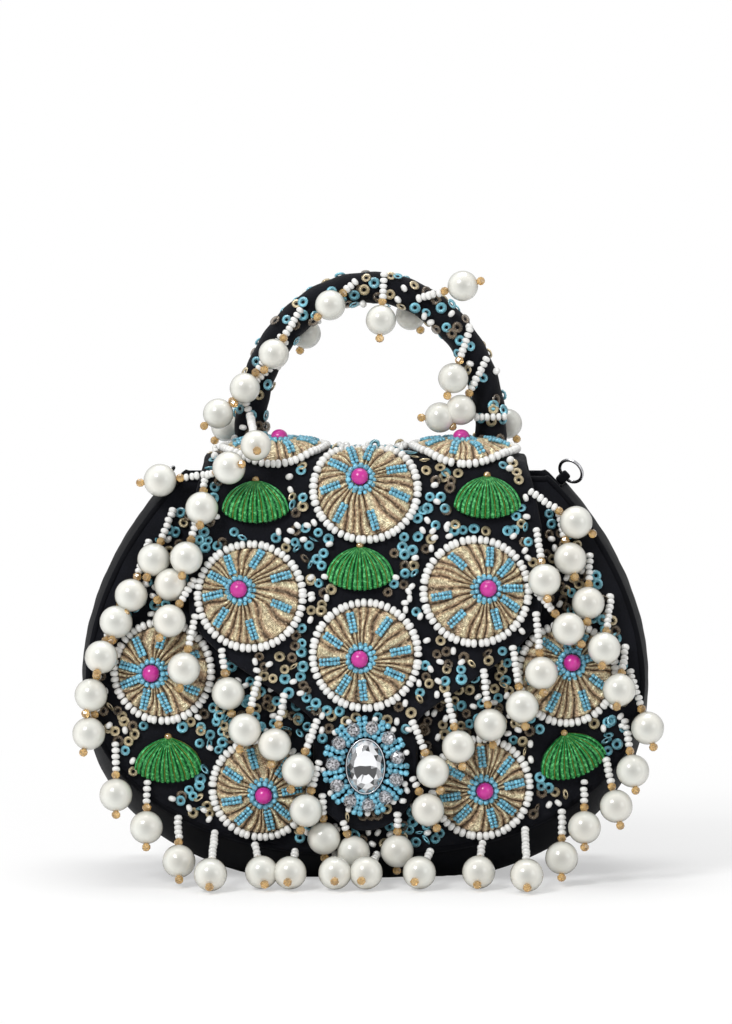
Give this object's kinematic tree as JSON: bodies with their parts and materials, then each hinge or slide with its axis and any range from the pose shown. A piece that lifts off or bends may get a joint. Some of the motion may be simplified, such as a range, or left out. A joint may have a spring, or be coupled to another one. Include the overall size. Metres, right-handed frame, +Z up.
{
  "type": "beaded clutch bag",
  "caption": "Small domed evening bag with a fold-over flap, a tubular top handle, round bead medallions and a pearl-drop fringe.",
  "frame": {"origin": "middle of the flat base, on the surface that the bag stands on", "axes": "+Z up; the flap closes over the front, which faces -Y; +X to the right as seen from the front"},
  "size_m": [0.2062, 0.133, 0.2128],
  "materials": {
    "beaded_cloth": "matt velvet with beads and sequins",
    "black_satin": "satin weave",
    "lining_cloth": "plain weave",
    "base_board": "grey board",
    "steel": "plated",
    "gold_thread": "metallic thread over padding",
    "green_thread": "metallic thread over padding",
    "crystal": "cut stone",
    "grey_blue_beads": "cut beads"
  },
  "bodies": {
    "bag": {"front_panel": "beaded_cloth", "back_panel": "beaded_cloth", "gusset": "black_satin", "lining": "lining_cloth", "base_board": "base_board", "snap_lower": "steel", "tab_left": "black_satin", "tab_right": "black_satin", "medallion_5": "gold_thread", "medallion_6": "gold_thread", "medallion_7": "gold_thread", "medallion_8": "gold_thread", "shell_4": "green_thread", "shell_5": "green_thread"},
    "lid": {"flap": "beaded_cloth", "flap_lining": "lining_cloth", "snap_upper": "steel", "handle": "beaded_cloth", "medallion_1": "gold_thread", "medallion_2": "gold_thread", "medallion_3": "gold_thread", "medallion_4": "gold_thread", "medallion_9": "gold_thread", "medallion_10": "gold_thread", "shell_1": "green_thread", "shell_2": "green_thread", "shell_3": "green_thread", "crystal": "crystal", "brooch": "grey_blue_beads"},
    "left_ring": {"ring_left": "steel"},
    "right_ring": {"ring_right": "steel"}
  },
  "joints": [
    {"name": "flap_open", "type": "hinge", "parent": "bag", "child": "lid", "pos_m": [0, 0.017, 0.14175], "axis": [-1, 0, 0], "range_deg": [0, 110]},
    {"name": "left_ring_swing", "type": "hinge", "parent": "bag", "child": "left_ring", "pos_m": [-0.07028, 0, 0.14018], "axis": [0.6729, 0, 0.7398], "range_deg": [-160, 0]},
    {"name": "right_ring_swing", "type": "hinge", "parent": "bag", "child": "right_ring", "pos_m": [0.07028, 0, 0.14018], "axis": [-0.6729, 0, 0.7398], "range_deg": [-40, 120]}
  ]
}
